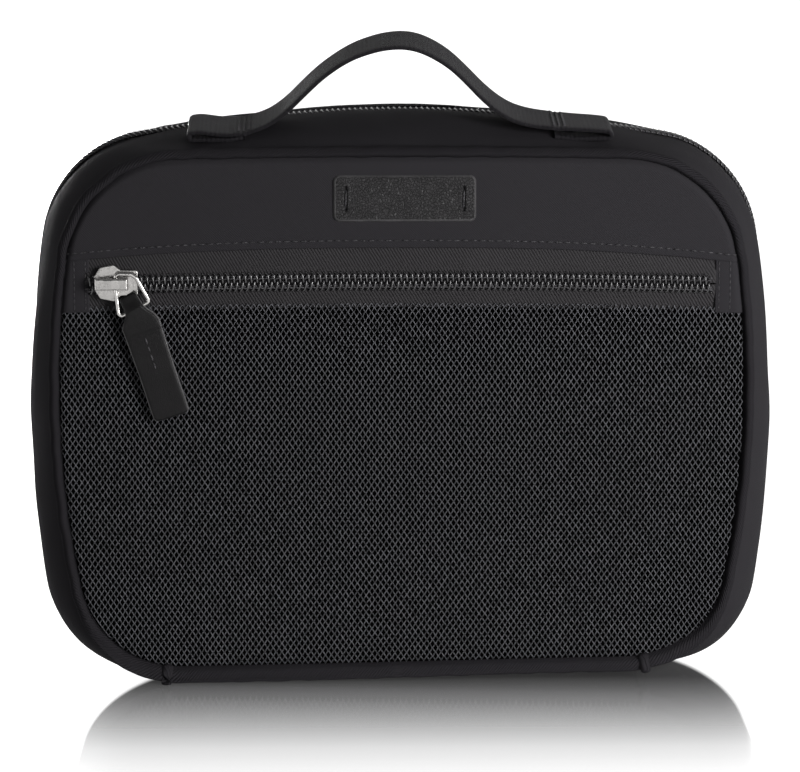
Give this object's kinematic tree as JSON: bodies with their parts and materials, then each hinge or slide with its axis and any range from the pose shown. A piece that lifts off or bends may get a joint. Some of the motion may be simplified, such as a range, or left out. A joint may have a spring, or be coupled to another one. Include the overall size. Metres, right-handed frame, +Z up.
{
  "type": "travel organizer pouch",
  "caption": "Soft clamshell travel pouch with a zip round the top and sides, net front pocket, leather pull and webbing carry handle.",
  "frame": {"origin": "centre of the bounding box, at the level of the underside", "axes": "+X to the right as seen from the front, -Y out of the net pocket, +Z up towards the handle"},
  "size_m": [0.2526, 0.1024, 0.2173],
  "materials": {
    "twill": "fine twill, slight sheen",
    "edge_twill": "ribbed twill",
    "net": "open knitted net",
    "board": "foam board",
    "lining": "plain woven",
    "zip_tape": "woven tape",
    "zip_coil": "polished coil",
    "webbing": "ribbed webbing",
    "leather": "fine pebble grain",
    "bright_metal": "polished"
  },
  "bodies": {
    "rear_half": {"rear_gusset": "twill", "rear_bottom_gusset": "twill", "rear_edge_band": "edge_twill", "rear_board": "board", "rear_panel": "twill", "rear_lining": "lining", "main_tape_rear": "zip_tape", "main_coil_rear": "zip_coil", "cross_seam_rear_left": "twill", "cross_seam_rear_right": "twill"},
    "front_half": {"front_gusset": "twill", "front_bottom_gusset": "twill", "front_edge_band": "edge_twill", "front_board": "board", "front_lining": "lining", "upper_panel": "twill", "net_pocket": "net", "leather_patch": "leather", "end_tab_left": "twill", "end_tab_right": "twill", "pocket_tape_upper": "zip_tape", "pocket_tape_lower": "zip_tape", "pocket_coil_upper": "zip_coil", "pocket_coil_lower": "zip_coil", "main_tape_front": "zip_tape", "main_coil_front": "zip_coil", "cross_seam_front_left": "twill", "cross_seam_front_right": "twill", "handle_end_left": "webbing", "handle_end_right": "webbing"},
    "handle": {"handle_arch": "webbing"},
    "pocket_slider": {"pocket_slider": "bright_metal"},
    "pocket_ring": {"pocket_ring": "bright_metal", "pocket_pull_neck": "leather"},
    "pocket_pull": {"pocket_pull": "leather"},
    "main_slider": {"main_slider": "bright_metal"},
    "main_ring": {"main_ring": "bright_metal", "main_pull_neck": "leather"},
    "main_pull": {"main_pull": "leather"}
  },
  "joints": [
    {"name": "open", "type": "hinge", "parent": "rear_half", "child": "front_half", "pos_m": [0, 0.00225, 0], "axis": [1, 0, 0], "range_deg": [0, 170]},
    {"name": "handle_fold", "type": "hinge", "parent": "front_half", "child": "handle", "pos_m": [0, -0.02125, 0.19], "axis": [1, 0, 0], "range_deg": [-28, 35], "stiffness_Nm_per_rad": 0.02},
    {"name": "pocket_slide", "type": "slide", "parent": "front_half", "child": "pocket_slider", "axis": [1, 0, 0], "range_m": [0, 0.187]},
    {"name": "pocket_ring_turn", "type": "hinge", "parent": "pocket_slider", "child": "pocket_ring", "pos_m": [-0.0943, -0.04915, 0.137], "axis": [0, 0, -1], "range_deg": [0, 90]},
    {"name": "pocket_pull_turn", "type": "hinge", "parent": "pocket_ring", "child": "pocket_pull", "pos_m": [-0.08825, -0.04915, 0.12845], "axis": [-0.8855, 0, -0.4647], "range_deg": [0, 70]},
    {"name": "main_slide", "type": "hinge", "parent": "rear_half", "child": "main_slider", "pos_m": [0.08912, 0.00225, 0.033], "axis": [0, -1, 0], "range_deg": [0, 37]},
    {"name": "main_ring_turn", "type": "hinge", "parent": "main_slider", "child": "main_ring", "pos_m": [0.11181, 0.00225, 0.00596], "axis": [0, 1, 0], "range_deg": [0, 90]},
    {"name": "main_pull_turn", "type": "hinge", "parent": "main_ring", "child": "main_pull", "pos_m": [0.11687, 0.01324, 0.0102], "axis": [-0.766, 0, -0.6428], "range_deg": [0, 70]}
  ]
}
